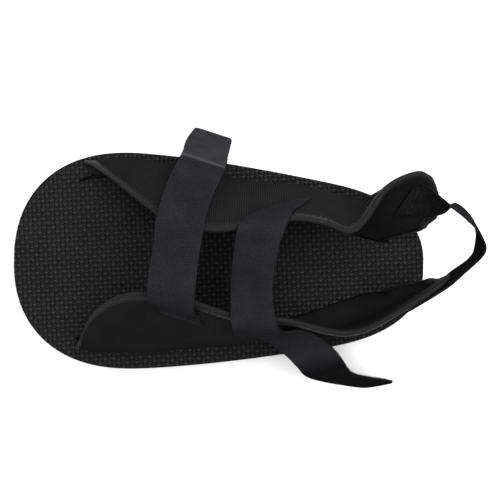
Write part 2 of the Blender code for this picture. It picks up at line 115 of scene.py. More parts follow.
# A fold is one section of a flap, from its foot over its belly to its bound edge.
# foot_up is 0 where the foot is in the slit, and the height of the free lower edge behind it.
Fold = namedtuple("Fold", "foot_x foot_out foot_up belly_out belly_up bow edge_x edge_out edge_up")
FAR_FLAP = [
    Fold(-80, 0, 0, 58.5, 4.5, 0, -86, 62.5, 6.5),
    Fold(-78, 0, 0, 60.4, 6.5, 0.5, -82, 61, 12),
    Fold(-74, 0, 0, 62, 9.5, 1, -77, 58, 18.5),
    Fold(-66, 0, 0, 62.8, 14, 3, -66, 51, 33),
    Fold(-50, 0, 0, 62.6, 20, 5, -50, 40.2, 54.5),
    Fold(-33, 0, 0, 60, 22, 7, -33, 28.5, 72),
    Fold(-15, 0, 0, 56.2, 22, 8, -15, 20.8, 79),
    Fold(5, 0, 0, 52.2, 20, 8, 5, 18.8, 80),
    Fold(25, 0, 0, 49.6, 18, 7, 26, 23.4, 80),
    Fold(42, 0, 0, 48.6, 18, 6, 45, 26.3, 77),
    Fold(56, 0, 0, 46.8, 19, 4, 62, 24, 73),
    Fold(68, 0, 0, 43.6, 21, 3, 76, 19.5, 69),
    Fold(78, 0, 0, 41, 24, 2, 86, 29, 64.5),
    Fold(86, 0, 0, 38.5, 26, 1, 95.2, 43.4, 62.5),
    Fold(93, 0, 0, 35.5, 27, 0, 104.8, 51.2, 61),
    Fold(100, 0, 0, 33.5, 29, 0, 115.2, 55, 59),
    Fold(104, 17.9, 3.2, 33.6, 29.8, 0, 119.8, 53.8, 57.6),
    Fold(108, 20, 9.5, 33.8, 30.5, 0, 123.9, 51.6, 55.3),
    Fold(114, 21.8, 17.5, 32, 31, 0, 128.6, 44, 49),
    Fold(121, 23.6, 22.5, 29.5, 31.5, 0, 131.4, 37, 41),
    Fold(127, 26.2, 26.5, 28, 29.5, 0, 131.6, 31, 33.5),
]
NEAR_FLAP = [
    Fold(-88, 0, 0, 56, 3.5, 0, -88.8, 57.2, 5.5),
    Fold(-84, 0, 0, 56.4, 6.5, 0.8, -84.8, 49.4, 16),
    Fold(-77, 0, 0, 56.6, 11, 3, -76, 35.2, 33),
    Fold(-67, 0, 0, 57, 13, 4, -67, 27.2, 48),
    Fold(-55, 0, 0, 56.6, 15, 5, -55, 19.8, 63),
    Fold(-41, 0, 0, 55.6, 16, 6, -40, 16.4, 76),
    Fold(-25, 0, 0, 54, 16, 6, -25, 17.8, 79),
    Fold(-8, 0, 0, 51.6, 16, 6, -8, 20.8, 80),
    Fold(10, 0, 0, 49, 15, 5, 10.8, 27, 78),
    Fold(27, 0, 0, 46.2, 15, 4, 28, 28.4, 75),
    Fold(42, 0, 0, 43.6, 16, 3, 45, 30.4, 71),
    Fold(55, 0, 0, 42, 18, 2, 59, 34.3, 66.5),
    Fold(66, 0, 0, 39.8, 21, 1, 71, 36.9, 64.5),
    Fold(76, 0, 0, 37, 24, 0, 82, 36.2, 63),
    Fold(85, 0, 0, 33.5, 26, 0, 92, 32.3, 62),
    Fold(94, 0, 0, 28.8, 28, 0, 101, 26.9, 62),
    Fold(101, 0, 0, 25, 29, 0, 109, 22, 62),
    Fold(105, 17.6, 3.2, 22.8, 30, 0, 112.6, 19.8, 61.8),
    Fold(110, 15, 8, 20, 31.3, 0, 116.8, 17.1, 61.5),
    Fold(118, 12.2, 13.5, 15.4, 34, 0, 123.3, 12.9, 61),
    Fold(127, 9.6, 19, 11, 37, 0, 130, 7.8, 59.5),
    Fold(133, 7.2, 24, 6.6, 39, 0, 134.4, 3.8, 56),
]

# A band is one section across a strap: its toe-side or upper edge, then its other edge.
# y is across the shoe, and lie is 1 where the strap is sewn or stuck to a flap.
Band = namedtuple("Band", "ax ay aup bx by bup lie")
FOREFOOT_STRAP = [
    Band(-28.4, -24.4, 69, -5.2, -31.2, 65, 1), Band(-29.6, -22.8, 74, -6.6, -29.2, 71, 1),
    Band(-31.5, -22, 81, -8.5, -28.5, 79, 0), Band(-33.2, -20, 90, -9.2, -25.5, 88, 0),
    Band(-33.2, -12, 95, -8.4, -14.5, 94, 0), Band(-32.5, -1, 92, -7.5, -2, 92, 0),
    Band(-31.5, 10, 87, -6.3, 10.5, 87, 0), Band(-30.4, 23, 87, -3.8, 25, 87, 0),
    Band(-27.8, 37, 83, -0.4, 38, 82, 0), Band(-24.4, 48.5, 77, 2.8, 47, 75, 0),
    Band(-19.6, 60.8, 68, 4.8, 53.6, 66, 0), Band(-18.6, 65.5, 60, 5.3, 58, 58, 0),
    Band(-19, 73.2, 40, 5.6, 65.4, 40, 0), Band(-18.4, 81, 16, 6, 73.4, 16, 0),
    Band(-17.7, 88, -8, 6.3, 80.9, -8, 0),
]
INSTEP_STRAP = [
    Band(29.4, 31.5, 73, 53.8, 37.5, 59, 1), Band(23.7, 29.2, 76, 48.6, 34, 68, 1),
    Band(18, 26.6, 79, 43, 29.8, 76, 0), Band(15, 23.8, 85, 41.2, 26.6, 82, 0),
    Band(13, 19.6, 87, 38.6, 21, 86, 0),
    Band(11.7, 11, 82, 35.4, 11, 86, 0), Band(10.8, 0, 78, 33.8, 0, 86, 0),
    Band(10.4, -10, 77, 33, -10, 86, 0), Band(10.3, -20, 79, 32.9, -19.5, 86, 0),
    Band(10.6, -29, 84, 34.4, -27.5, 87, 0), Band(11.6, -34.5, 84, 36, -32.6, 85, 0),
    Band(13.2, -37.6, 78, 38.6, -35.6, 78, 0), Band(19, -38.6, 69, 43.4, -36.4, 71, 0),
    Band(25.2, -40.2, 63, 48.2, -35.8, 67, 0), Band(33.4, -45, 55, 56.6, -37.4, 60, 0),
    Band(41.4, -51.6, 47, 65, -43.2, 52, 0), Band(49, -59.2, 36, 73, -51, 42, 0),
    Band(56.4, -69.2, 14, 79.6, -60, 27, 0), Band(67, -74.4, 1, 85.6, -66.6, 17, 0),
    Band(82, -78.2, -8, 95.4, -69.8, 11, 0), Band(98, -80.8, -14, 104, -71.2, 8, 0),
    Band(110, -79.4, -17, 110, -72.4, 6, 0), Band(116, -78, -18, 113.4, -73.4, 5, 0),
]
HEEL_STRAP = [
    Band(113, 48, 50, 106.5, 32, 32, 1), Band(118, 47.6, 54, 112.5, 31.8, 34, 1),
    Band(122.4, 45, 60, 119.5, 31.6, 37, 0.4), Band(126.4, 41.4, 63.5, 127.4, 31.4, 40, 0),
    Band(130.4, 38, 64.5, 135.4, 33.8, 42, 0), Band(134.6, 34.6, 64, 140, 39.4, 41, 0),
    Band(140, 30.8, 63, 146.2, 36.8, 39.5, 0),
    Band(145.4, 26, 62.5, 152, 30.4, 38.5, 0), Band(150, 20.4, 62.5, 154.8, 21.8, 38, 0),
    Band(152.8, 15.5, 63, 154.6, 15.6, 38, 0), Band(153.6, 12, 63, 154, 10.6, 38, 0),
    Band(151.5, 8, 63, 151.6, 7, 38, 0), Band(146.5, 3, 63, 146.6, 2.6, 38, 0),
    Band(140, -3.2, 62.5, 139.5, -2.4, 37.5, 0), Band(134, -9, 62, 134.3, -9.4, 37, 0),
    Band(128, -14, 61.5, 128, -14, 36.5, 1), Band(120, -19, 60, 119.6, -18, 35, 1),
    Band(110.5, -26, 58.5, 110, -23.6, 34, 1), Band(101.5, -31, 57, 101, -29, 33, 1),
]


# Settings

def size(name, text, millimetres):
    return FloatProperty(name=name, description=text, default=millimetres * MM, min=0.0,
                         unit="LENGTH", subtype="DISTANCE", precision=5)


def shade(name, text, grey, blue=1.06):
    return FloatVectorProperty(name=name, description=text, subtype="COLOR", size=3,
                               default=(grey, grey, grey * blue), min=0.0, max=1.0, precision=4)


def amount(name, text, value, top=1.0):
    return FloatProperty(name=name, description=text, default=value, min=0.0, max=top,
                         subtype="FACTOR", precision=3)


def count(name, text, number):
    return IntProperty(name=name, description=text, default=number, min=1)


class SoleSettings(bpy.types.PropertyGroup):
    weave_cell: size("Weave cell", "Width of one cell of the basket weave", 2.9)
    weave_depth: size("Weave depth", "Height of the strands over the grooves", 0.8)
    weave_turn: FloatProperty(name="Weave turn", subtype="ANGLE", unit="ROTATION", default=WEAVE_TURN,
                              description="How far the weave is turned from the shoe's long axis")
    cell_steps: count("Cell steps", "Grid steps over one cell of the weave", 4)
    edge_round: size("Edge rounding", "Rounding of each layer's edges", 1.2)
    tread_cell: size("Tread cell", "Width of one cell of the tread", 6.4)
    tread_depth: size("Tread depth", "Depth of the tread's grooves", 0.9)
    colour: shade("Foam colour", "Colour of the foam", 0.0076)
    # Painted shade: the foam's colour in the slits of the weave, standing in for the shade of its relief
    groove_shade_colour: shade("Groove colour", "Colour of the foam in the grooves", 0.0015)
    # Painted highlight: the foam's colour on the ticks, where level strands face the light, and faintly on
    # upright strands
    crown_highlight_colour: shade("Crown colour", "Colour of the foam where strands rise out of the weave", 0.0250)
    gloss: amount("Foam gloss", "Strength of the reflections on foam", 0.06)


class FlapSettings(bpy.types.PropertyGroup):
    wall: size("Wall", "Thickness of a padded flap", 2.6)
    row_steps: count("Rows", "Steps between two sections of a flap", 6)
    columns: count("Columns", "Steps from a flap's edge to its foot", 56)
    rib: size("Rib", "Distance between two ribs of the knit", 1.3)
    tape_outside: size("Tape outside", "Width of the edge tape on the outer face", 4.4)
    tape_inside: size("Tape inside", "Width of the edge tape on the inner face", 6.4)
    tape_thick: size("Tape thickness", "Thickness of the edge tape", 0.5)
    stitch: size("Stitch", "Length of one stitch", 2.3)
    stitch_gap: size("Stitch gap", "Distance between two stitches", 1.0)
    thread: size("Thread", "Thickness of the thread", 0.4)
    colour: shade("Knit colour", "Colour of the flaps' fabric", 0.0115)
    tape_colour: shade("Tape colour", "Colour of the edge tape", 0.0095)
    thread_colour: shade("Thread colour", "Colour of the sewing thread", 0.0040)


class StrapSettings(bpy.types.PropertyGroup):
    thick: size("Strap thickness", "Thickness of a strap", 1.6)
    step: size("Strap step", "Distance between two sections of a strap", 1.5)
    columns: count("Strap columns", "Steps across a strap", 14)
    clearance: size("Strap clearance", "Space between a strap and what it lies on", 0.6)
    yarn: size("Yarn", "Width of one yarn of the webbing", 1.15)
    pile: size("Pile", "Length of the pile's hairs", 1.1)
    hairs: count("Hairs", "Number of hairs per strap", 5000)
    colour: shade("Webbing colour", "Colour of the straps' outer face", 0.0130, 1.10)
    pile_colour: shade("Pile colour", "Colour of the straps' pile", 0.0075)


class StageSettings(bpy.types.PropertyGroup):
    floor_colour: shade("Floor colour", "Colour of the floor", 0.9, 1.0)
    sky: amount("Sky", "Strength of the light from all round", 0.4, 10.0)
    overhead: FloatProperty(name="Overhead light", description="Power of the light above", default=34.0,
                            min=0.0, unit="POWER")
    side: FloatProperty(name="Side light", description="Power of the light from the far side",
                        default=12.0, min=0.0, unit="POWER")
    lens: FloatProperty(name="Lens", description="Focal length of the camera", default=55.69,
                        unit="CAMERA")
    camera_height: size("Camera height", "Height of the camera over the floor", 525.0)


GROUPS = (("shoe_sole", SoleSettings), ("shoe_flaps", FlapSettings), ("shoe_straps", StrapSettings),
          ("shoe_stage", StageSettings))


def mm(length):
    """A setting's length in millimetres."""
    return length / MM


# Finishes

def both_ways(operation):
    """An operator of Signal and its reflected form, each adding a Math node."""
    return (lambda self, other: self.finish.math(operation, self, other),
            lambda self, other: self.finish.math(operation, other, self))


class Signal:
    """A shader socket that Python's own operators work on."""

    def __init__(self, finish, socket):
        self.finish = finish
        self.socket = socket

    __add__, __radd__ = both_ways("ADD")
    __sub__, __rsub__ = both_ways("SUBTRACT")
    __mul__, __rmul__ = both_ways("MULTIPLY")
    __truediv__, __rtruediv__ = both_ways("DIVIDE")
    __pow__, __rpow__ = both_ways("POWER")

    def __abs__(self):
        return self.finish.math("ABSOLUTE", self)


class Finish:
    """A material under construction."""

    def __init__(self, name, colour, roughness, gloss):
        self.material = bpy.data.materials.new(name)
        self.material.use_nodes = True
        self.tree = self.material.node_tree
        self.shader = self.tree.nodes["Principled BSDF"]
        self.set("Base Color", (*colour, 1.0))
        self.set("Roughness", roughness)
        self.set("Specular IOR Level", gloss)

    def set(self, name, value):
        self.fill(self.shader.inputs[name], value)

    def fill(self, socket, value):
        if isinstance(value, Signal):
            self.tree.links.new(value.socket, socket)
        else:
            socket.default_value = value

    def node(self, kind, settings, values, output=0):
        """One node: its settings first, then the values or links of its sockets."""
        node = self.tree.nodes.new(kind)
        for name, value in settings.items():
            setattr(node, name, value)
        for name, value in values.items():
            self.fill(node.inputs[name], value)
        return Signal(self, node.outputs[output])

    def math(self, operation, *values):
        return self.node("ShaderNodeMath", {"operation": operation}, dict(enumerate(values)))

    def mix(self, factor, first, second):
        settings = {"data_type": "RGBA", "blend_type": "MIX", "clamp_factor": True}
        return self.node("ShaderNodeMix", settings, {0: factor, 6: first, 7: second}, output=2)

    def tint(self, factor, colour, low, high):
        """A colour between two strengths of itself."""
        return self.mix(factor, rgba(colour, low), rgba(colour, high))

    def place(self):
        return self.node("ShaderNodeTexCoord", {}, {}, output="Object")

    def cloth(self):
        """Millimetres across and along the cloth."""
        uv = self.node("ShaderNodeUVMap", {"uv_map": "cloth"}, {})
        return [self.node("ShaderNodeSeparateXYZ", {}, {0: uv}, output=k) * CLOTH_SPAN for k in (0, 1)]

    def grain(self, scale, detail=3.0, rough=0.55):
        values = {"Vector": self.place(), "Scale": scale, "Detail": detail, "Roughness": rough}
        return self.node("ShaderNodeTexNoise", {}, values)

    def spread(self, signal, low, high):
        """The signal's range low to high stretched over 0 to 1."""
        return self.node("ShaderNodeMapRange", {"clamp": True},
                         {"Value": signal, "From Min": low, "From Max": high})

    def cells(self, across, along):
        """Place inside a chequered cell one unit wide, and 1 where the cell is an upright one."""
        number = self.math("FLOOR", across) + self.math("FLOOR", along)
        upright = self.math("FLOORED_MODULO", number, 2.0)
        return self.math("FRACT", across), self.math("FRACT", along), upright

    def weave(self, in_across, in_along, upright):
        """Height of a weave with one rounded strand in each cell."""
        side = upright * in_across + (1.0 - upright) * in_along
        end = upright * in_along + (1.0 - upright) * in_across
        strand = abs(self.math("SINE", side * math.pi)) ** 0.45
        return strand * (0.55 + 0.45 * self.math("SINE", end * math.pi))

    def bump(self, height, distance):
        """Bump of a height from 0 to 1 that stands for a distance in millimetres."""
        values = {"Strength": 1.0, "Distance": distance * MM, "Height": height}
        self.set("Normal", self.node("ShaderNodeBump", {}, values))


def rgba(colour, factor=1.0):
    return (*[channel * factor for channel in colour], 1.0)


@lru_cache(maxsize=None)
def foam_weave():
    """Embossed foam of the footbed, with painted shade in the slits and a painted highlight where level
    strands rise.
    """
    sole = bpy.context.scene.shoe_sole
    finish = Finish("foam_weave", sole.colour, 0.6, sole.gloss)
    place = finish.place()
    x, y = [finish.node("ShaderNodeSeparateXYZ", {}, {0: place}, output=k) for k in (0, 1)]
    c, s = math.cos(sole.weave_turn) / sole.weave_cell, math.sin(sole.weave_turn) / sole.weave_cell
    in_across, in_along, upright = finish.cells(x * c + y * s, y * c - x * s)
    height = finish.weave(in_across, in_along, upright)
    off_across, off_along = abs(in_across - 0.5), abs(in_along - 0.5)
    # Mask of the painted shade in the slits beside the strands
    slit = finish.spread(off_across, 0.3, 0.44) * finish.spread(off_along, 0.46, 0.36)
    # Mask of the painted highlight on the upper edge of each level strand
    tick_highlight = (1.0 - upright) * finish.spread(in_along, 0.66, 0.78) * finish.spread(off_across, 0.42, 0.3)
    pores = finish.grain(2600.0, 2.0)
    wear = finish.spread(finish.grain(38.0, 4.0), 0.35, 0.65)
    strand = finish.tint(wear, sole.colour, 0.82, 1.18)
    # Painted highlight mixed in: fully on the ticks, faintly on the upright strands
    highlighted_strands = finish.mix(tick_highlight + 0.12 * upright, strand, rgba(sole.crown_highlight_colour))
    finish.set("Base Color", finish.mix(0.9 * slit, highlighted_strands, rgba(sole.groove_shade_colour)))
    finish.set("Roughness", 0.52 + 0.2 * pores)
    finish.bump(0.75 * height + 0.25 * pores, 0.22)
    return finish.material


@lru_cache(maxsize=None)
def foam_side():
    """Cut foam of the midsole and outsole: fine closed cells."""
    sole = bpy.context.scene.shoe_sole
    finish = Finish("foam_side", sole.colour, 0.65, sole.gloss)
    cells = finish.node("ShaderNodeTexVoronoi", {}, {"Vector": finish.place(), "Scale": 1500.0})
    wear = finish.spread(finish.grain(60.0, 5.0), 0.3, 0.7)
    finish.set("Base Color", finish.tint(wear, sole.colour, 0.75, 1.35))
    finish.set("Roughness", 0.58 + 0.2 * wear)
    finish.bump(cells + 0.4 * finish.grain(700.0), 0.12)
    return finish.material


@lru_cache(maxsize=None)
def flap_knit():
    """Brushed knit of the flaps: ribs that run up the flap, courses across them, and soft mottling."""
    flaps = bpy.context.scene.shoe_flaps
    finish = Finish("flap_knit", flaps.colour, 0.9, 0.0)
    up, along = finish.cloth()
    ribs = abs(finish.math("SINE", along * (math.pi / mm(flaps.rib))))
    courses = abs(finish.math("SINE", up * (math.pi / (0.8 * mm(flaps.rib)))))
    fluff = finish.grain(1400.0, 4.0, 0.7)
    patch = finish.spread(finish.grain(55.0, 5.0), 0.3, 0.7)
    yarn = 0.55 * ribs + 0.2 * courses + 0.25 * fluff
    light = finish.tint(patch, flaps.colour, 0.9, 1.25)
    finish.set("Base Color", finish.mix(finish.spread(yarn, 0.2, 0.8), rgba(flaps.colour, 0.55), light))
    finish.set("Roughness", 0.78 + 0.15 * fluff)
    finish.bump(yarn, 0.28)
    return finish.material


@lru_cache(maxsize=None)
def edge_tape():
    """Ribbed tape round the flaps' edges."""
    flaps = bpy.context.scene.shoe_flaps
    finish = Finish("edge_tape", flaps.tape_colour, 0.5, 0.08)
    _, along = finish.cloth()
    ribs = abs(finish.math("SINE", along * (math.pi / TAPE_RIB)))
    fluff = finish.grain(900.0, 3.0)
    tone = finish.spread(0.6 * ribs + 0.5 * fluff, 0.2, 0.9)
    finish.set("Base Color", finish.tint(tone, flaps.tape_colour, 0.6, 1.2))
    finish.set("Roughness", 0.42 + 0.25 * fluff)
    finish.bump(0.7 * ribs + 0.3 * fluff, 0.14)
    return finish.material


# Tones of a strap's colour are mixed between black and this factor.
BRIGHTEST = 4.0

# A zone of a strap changes its tone by a factor, fading in between two distances from its sewn end.
# These tones are painted light and shade: on the forefoot strap a painted highlight along the crease and
# painted light on the tab beyond it, on the instep strap painted light on a stretch and then painted shade
# over the tail.
PaintedZone = namedtuple("PaintedZone", "strap start end factor")
PAINTED_ZONES = [
    PaintedZone("forefoot", 113, 114.5, 3.2), PaintedZone("forefoot", 115.5, 117, 0.6),
    PaintedZone("instep", 128, 142, 1.35), PaintedZone("instep", 143, 172, 0.35),
]


@lru_cache(maxsize=None)
def webbing(name):
    """Woven outer face of a strap, with a dusting of lint, and painted highlights and painted shade in its
    zones.
    """
    straps = bpy.context.scene.shoe_straps
    finish = Finish(name + "_webbing", straps.colour, 0.8, 0.0)
    across, along = finish.cloth()
    yarn = mm(straps.yarn)
    height = finish.weave(*finish.cells(across / yarn, along / yarn))
    fluff = finish.grain(1100.0, 4.0, 0.8)
    patch = finish.spread(finish.grain(70.0, 4.0), 0.3, 0.7)
    tone = 0.35 + 0.85 * finish.spread(0.4 * height + 1.1 * fluff, 0.5, 1.05) + 0.3 * patch
    # Painted light and shade of the strap's zones, multiplied into its tone
    for painted_zone in PAINTED_ZONES:
        if painted_zone.strap == name:
            tone = tone * (1.0 + (painted_zone.factor - 1) * finish.spread(along, painted_zone.start, painted_zone.end))
    finish.set("Base Color", finish.tint(tone / BRIGHTEST, straps.colour, 0.0, BRIGHTEST))
    finish.set("Roughness", 0.7 + 0.2 * fluff)
    finish.bump(0.6 * height + 0.6 * fluff, 0.3)
    return finish.material


@lru_cache(maxsize=None)
def pile():
    """Brushed pile of the straps' inner face."""
    straps = bpy.context.scene.shoe_straps
    finish = Finish("pile", straps.pile_colour, 0.95, 0.0)
    tufts = finish.node("ShaderNodeTexVoronoi", {}, {"Vector": finish.place(), "Scale": 900.0})
    fluff = finish.grain(2200.0, 4.0, 0.8)
    tone = finish.spread(0.5 * tufts + 0.6 * fluff, 0.25, 0.75)
    finish.set("Base Color", finish.tint(tone, straps.pile_colour, 0.5, 2.2))
    finish.set("Roughness", 0.85 + 0.1 * fluff)
    finish.bump(tufts + fluff, 0.4)
    return finish.material


@lru_cache(maxsize=None)
def thread():
    """Twisted sewing thread."""
    flaps = bpy.context.scene.shoe_flaps
    finish = Finish("thread", flaps.thread_colour, 0.6, 0.1)
    twist = finish.node("ShaderNodeTexWave", {"wave_type": "BANDS", "bands_direction": "DIAGONAL"},
                        {"Vector": finish.place(), "Scale": 900.0, "Distortion": 1.0}, output=1)
    finish.set("Base Color", finish.tint(twist, flaps.thread_colour, 0.6, 1.4))
    finish.set("Roughness", 0.4 + 0.2 * twist)
    finish.bump(twist, 0.05)
    return finish.material


@lru_cache(maxsize=None)
def paper_floor():
    """Matt studio paper with the faintest tooth."""
    stage = bpy.context.scene.shoe_stage
    finish = Finish("paper_floor", stage.floor_colour, 0.9, 0.0)
    tooth = finish.grain(400.0, 3.0)
    finish.set("Base Color", finish.tint(tooth, stage.floor_colour, 1.0, 1.01))
    finish.bump(tooth, 0.02)
    return finish.material


# Meshes

def shell_of(points, faces, scale, outward=True):
    """A bmesh of points and faces, turned to face outwards unless it is an open sheet."""
    shell = bmesh.new()
    corners = [shell.verts.new(Vector(p) * scale) for p in points]
    for face in faces:
        shell.faces.new([corners[i] for i in face])
    if outward:
        bmesh.ops.recalc_face_normals(shell, faces=shell.faces)
    return shell


def bare_mesh(name, points, faces):
    """A closed body from points in millimetres, with nothing on it yet."""
    shell = shell_of(points, faces, MM)
    mesh = bpy.data.meshes.new(name)
    shell.to_mesh(mesh)
    shell.free()
    body = bpy.data.objects.new(name, mesh)
    bpy.context.scene.collection.objects.link(body)
    return body


def add_piece(name, points, faces, materials, replaced=(), material_of=None, uv=None, smooth=40):
    """A finished piece of the shoe, riding on the body."""
    piece = bare_mesh(name, points, faces)
    mesh = piece.data
    for material in materials:
        mesh.materials.append(material)
    if material_of:
        mesh.polygons.foreach_set("material_index", material_of)
    if uv:
        layer = mesh.uv_layers.new(name="cloth")
        for loop, corner in zip(mesh.loops, layer.data):
            corner.uv = uv[loop.vertex_index]
    mesh.shade_smooth()
    mesh.set_sharp_from_angle(angle=math.radians(smooth))
    return dress(piece, replaced)


def dress(piece, replaced=()):
    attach(piece, BODY)
    if replaced:
        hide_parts(*replaced)
    return piece


def carved(piece, changes):
    """Applies Booleans to a piece, given as (tool, operation), and removes the tools."""
    for tool, operation in changes:
        change = piece.modifiers.new(operation, "BOOLEAN")
        change.operation = operation
        change.solver = "EXACT"
        change.object = tool
    bpy.context.view_layer.update()
    made = bpy.data.meshes.new_from_object(piece.evaluated_get(bpy.context.evaluated_depsgraph_get()))
    piece.modifiers.clear()
    piece.data = made
    for tool, _ in changes:
        bpy.data.objects.remove(tool, do_unlink=True)
    return piece


def smooth_between(before, start, end, after, t):
    """A point on the Catmull-Rom curve from start to end."""
    return 0.5 * (
        2 * start + (end - before) * t
        + (2 * before - 5 * start + 4 * end - after) * t * t
        + (3 * start - before - 3 * end + after) * t * t * t
    )


def smooth_row(values, steps):
    """A smooth curve through values, with steps[i] pieces in the i-th interval."""
    ends = [2 * values[0] - values[1]] + list(values) + [2 * values[-1] - values[-2]]
    curve = []
    for i, pieces in enumerate(steps):
        around = ends[i:i + 4]
        curve += [smooth_between(*around, k / pieces) for k in range(pieces)]
    return curve + [values[-1]]


def slit_out(x):
    """Distance of the slit from the long axis at x."""
    last = len(SLITS) - 2
    i = next((k for k in range(last) if x < SLITS[k + 1].x), last)
    start, end = SLITS[i], SLITS[i + 1]
    before, after = SLITS[max(i - 1, 0)], SLITS[min(i + 2, last + 1)]
    return smooth_between(before.out, start.out, end.out, after.out, (x - start.x) / (end.x - start.x))


def half_width(x):
    """Half the width of the sole at x: rounded toe, tapering waist and rounded heel."""
    from_toe = x + SOLE_LENGTH / 2
    side = BALL_HALF_WIDTH
    if from_toe > BALL_FROM_TOE:
        side -= WAIST_TAPER * ((from_toe - BALL_FROM_TOE) / WAIST_LENGTH) ** WAIST_POWER
    toe_reach = max(0.0, 1 - from_toe / BALL_FROM_TOE)
    heel_reach = max(0.0, (from_toe - HEEL_FROM_TOE) / (SOLE_LENGTH - HEEL_FROM_TOE))
    toe = (1 - min(1.0, toe_reach) ** TOE_ROUNDNESS) ** (1 / TOE_ROUNDNESS)
    heel = (1 - min(1.0, heel_reach) ** HEEL_ROUNDNESS) ** (1 / HEEL_ROUNDNESS)
    return side * toe * heel


def underside(x):
    """Height of the sole's underside: flat, with toe spring and a bevelled heel."""
    from_toe = x + SOLE_LENGTH / 2
    spring = max(0.0, 1 - from_toe / TOE_SPRING_LENGTH)
    bevel = max(0.0, 1 - (SOLE_LENGTH - from_toe) / HEEL_BEVEL_LENGTH)
    return TOE_SPRING * spring ** 2 + HEEL_BEVEL * bevel ** 2


# Sole

def sole_stations(number):
    """Places along the sole, closer together towards its rounded ends."""
    ends = 0.9992 * SOLE_LENGTH / 2
    places = []
    for k in range(number + 1):
        t = 2 * k / number - 1
        places.append(math.copysign(ends * (1 - (1 - abs(t)) ** 1.6), t))
    return places


def layer_mesh(bottom, top, rounding, stations=220, corner=5):
    """Points and faces of a slab with the sole's outline and rounded edges."""
    points = []
    for x in sole_stations(stations):
        wide = half_width(x)
        low, high = bottom(x), top(x)
        r = min(rounding, 0.3 * wide, 0.25 * (high - low))
        edge = []
        for base, first in ((low + r, -90), (high - r, 0)):
            for k in range(corner + 1):
                a = math.radians(first + 90 * k / corner)
                edge.append((wide - r + r * math.cos(a), base + r * math.sin(a)))
        section = edge + [(-y, z) for y, z in reversed(edge)]
        points += [(x, y, z) for y, z in section]
    return points, ring_faces(0, stations + 1, len(points) // (stations + 1))


def ring_faces(first, rings, around):
    """Faces of a closed tube of rings of points, from its first point's number."""
    faces = []
    for i in range(rings - 1):
        for k in range(around):
            a, b = first + i * around + k, first + i * around + (k + 1) % around
            faces.append((a, b, b + around, a + around))
    faces.append(tuple(range(first, first + around)))
    faces.append(tuple(range(first + (rings - 1) * around, first + rings * around)))
    return faces


def prism_mesh(outline, low, high):
    number = len(outline)
    points = [(x, y, low) for x, y in outline] + [(x, y, high) for x, y in outline]
    faces = [tuple(range(number)), tuple(range(number, 2 * number))]
    faces += [(k, (k + 1) % number, (k + 1) % number + number, k + number) for k in range(number)]
    return points, faces


def slot_outline(folds, side):
    """The outline of the slot that a flap comes up through, a thin cut in front of the flap."""
    number = 60
    start = folds[0].foot_x
    places = [SLOT_TOE_END] + [start + (SLOT_HEEL_END - start) * k / number for k in range(number + 1)]
    outer, inner = [], []
    for x in places:
        slope = slit_out(x + 1) - slit_out(x - 1)
        run = math.hypot(2, slope)
        half = (CUT_WIDTH if x < start else SLOT_WIDTH) / 2
        shift_x, shift_y = -slope / run * half, 2 / run * half
        outer.append((x + shift_x, side * (slit_out(x) + shift_y)))
        inner.append((x - shift_x, side * (slit_out(x) - shift_y)))
    return outer + inner[::-1]


def weave_height(i, j, steps):
    """Height from 0 to 1 of the weave at grid step (i, j): deep slits beside the crosswise strands."""
    upright = (i // steps + j // steps) % 2
    across, along = (i % steps) / steps, (j % steps) / steps
    if across == 0:
        return 0.45 if along == 0 else 0.0
    if along == 0:
        return 0.45
    if upright:
        return 0.7 + 0.3 * math.sin(math.pi * along)
    return 0.5 + 0.5 * math.sin(math.pi * along) * math.sin(math.pi * across)


def grid_rim(rows, columns):
    """The numbers of the points round the border of a grid, in order."""
    rim = list(range(columns)) + [i * columns + columns - 1 for i in range(1, rows)]
    rim += [(rows - 1) * columns + k for k in range(columns - 2, -1, -1)]
    return rim + [i * columns for i in range(rows - 2, 0, -1)]


def woven_slab(cell, depth, turn, steps, face, back, upward):
    """A slab larger than the sole, whose face(x) carries a basket weave and whose back is flat."""
    reach_x, reach_y = SOLE_LENGTH / 2 + 6, BALL_HALF_WIDTH + 6
    c, s = math.cos(turn), math.sin(turn)
    pitch = cell / steps
    half_i = math.ceil((reach_x * c + reach_y * s) / pitch)
    half_j = math.ceil((reach_y * c + reach_x * s) / pitch)
    points = []
    across = 2 * half_j + 1
    for i in range(-half_i, half_i + 1):
        for j in range(-half_j, half_j + 1):
            x, y = (i * c - j * s) * pitch, (i * s + j * c) * pitch
            relief = depth * weave_height(i, j, steps)
            points.append((x, y, face(x) - upward * (depth - relief)))
    rows = 2 * half_i + 1
    faces = [(i * across + j, (i + 1) * across + j, (i + 1) * across + j + 1, i * across + j + 1)
             for i in range(rows - 1) for j in range(across - 1)]
    rim = grid_rim(rows, across)
    first = len(points)
    points += [(points[v][0], points[v][1], back) for v in rim]
    for k, v in enumerate(rim):
        after = (k + 1) % len(rim)
        faces.append((v, rim[after], first + after, first + k))
    faces.append(tuple(range(first, len(points))))
    return points, faces


def build_footbed():
    sole = bpy.context.scene.shoe_sole
    points, faces = layer_mesh(lambda x: SHEET_UNDERSIDE, lambda x: SOLE_TOP, mm(sole.edge_round))
    footbed = bare_mesh("footbed", points, faces)
    weave = woven_slab(mm(sole.weave_cell), mm(sole.weave_depth), sole.weave_turn, sole.cell_steps,
                       lambda x: SOLE_TOP, SHEET_UNDERSIDE - 3, 1)
    changes = [(bare_mesh("weave", *weave), "INTERSECT")]
    for folds, side in ((FAR_FLAP, 1), (NEAR_FLAP, -1)):
        slot = prism_mesh(slot_outline(folds, side), SHEET_UNDERSIDE - 1, SOLE_TOP + 1)
        changes.append((bare_mesh("slot", *slot), "DIFFERENCE"))
    carved(footbed, changes)
    finish_sole(footbed, foam_weave(), "top_sheet")


